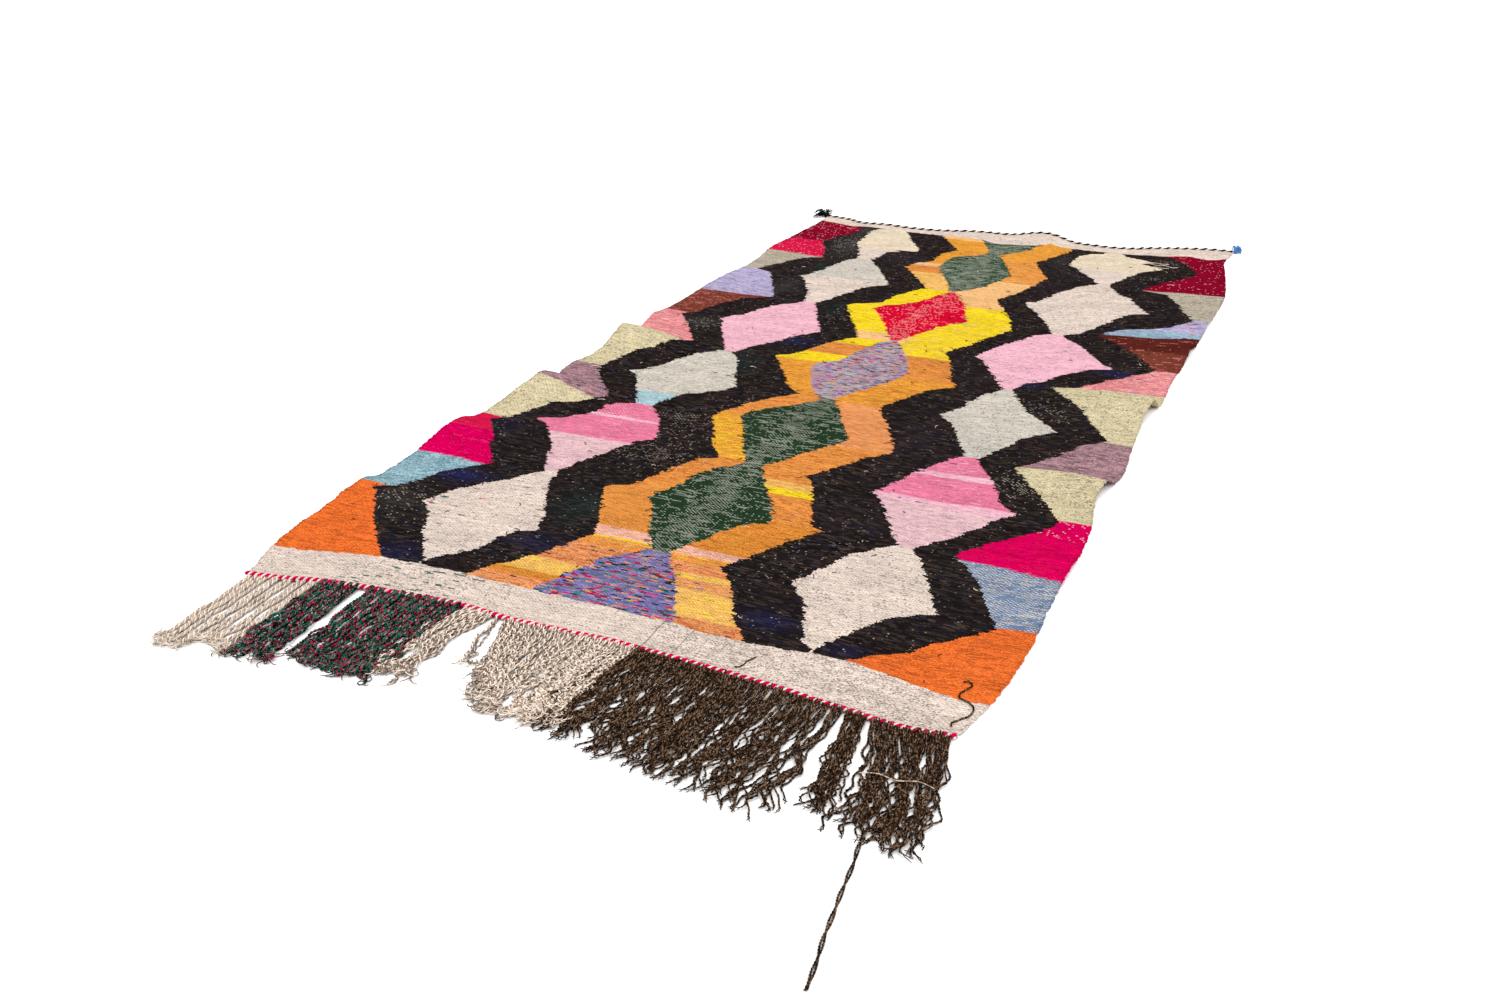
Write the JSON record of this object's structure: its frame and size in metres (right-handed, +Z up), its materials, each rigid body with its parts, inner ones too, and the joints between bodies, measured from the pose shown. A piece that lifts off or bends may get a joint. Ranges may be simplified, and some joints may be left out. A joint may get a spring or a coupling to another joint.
{
  "type": "boucherouite rug",
  "caption": "Long flat-woven rag rug lying on a floor, with diamond columns, lifted side edges, twined end rows, a mixed-yarn warp fringe at one end and knotted corner tufts.",
  "frame": {"origin": "under the middle of the woven cloth, on the floor it lies on", "axes": "+Y along the rug's length, from the fringed end to the plain end; +X across it, to the right seen from above with the fringe nearest; +Z up out of the cloth's face"},
  "size_m": [1.4129, 3.4034, 0.046],
  "materials": {
    "rug_weave": "matt flat weave of wool and rag strips, black field with coloured diamonds",
    "twining_red": "matt twined wool yarn, crimson",
    "twining_black": "matt twined wool yarn, black over cream",
    "fringe_ecru": "matt plied wool yarn, ecru",
    "fringe_marl": "matt plied wool yarn, marl of green, red and grey",
    "fringe_grey": "matt plied wool yarn, heather grey",
    "fringe_cream": "matt crimped wool yarn, cream",
    "fringe_brown": "matt plied wool yarn, dark brown",
    "long_tail": "matt plied wool yarn, dark brown",
    "stray_yarn": "matt plied wool yarn, dark brown",
    "tuft_black": "matt wool yarn, black",
    "tuft_blue": "matt wool yarn, blue"
  },
  "bodies": {
    "root": {"rug_weave": "rug_weave", "twining_red": "twining_red", "twining_black": "twining_black", "fringe_ecru": "fringe_ecru", "fringe_marl": "fringe_marl", "fringe_grey": "fringe_grey", "fringe_cream": "fringe_cream", "fringe_brown": "fringe_brown", "long_tail": "long_tail", "stray_yarn": "stray_yarn", "tuft_black": "tuft_black", "tuft_blue": "tuft_blue"}
  },
  "joints": []
}
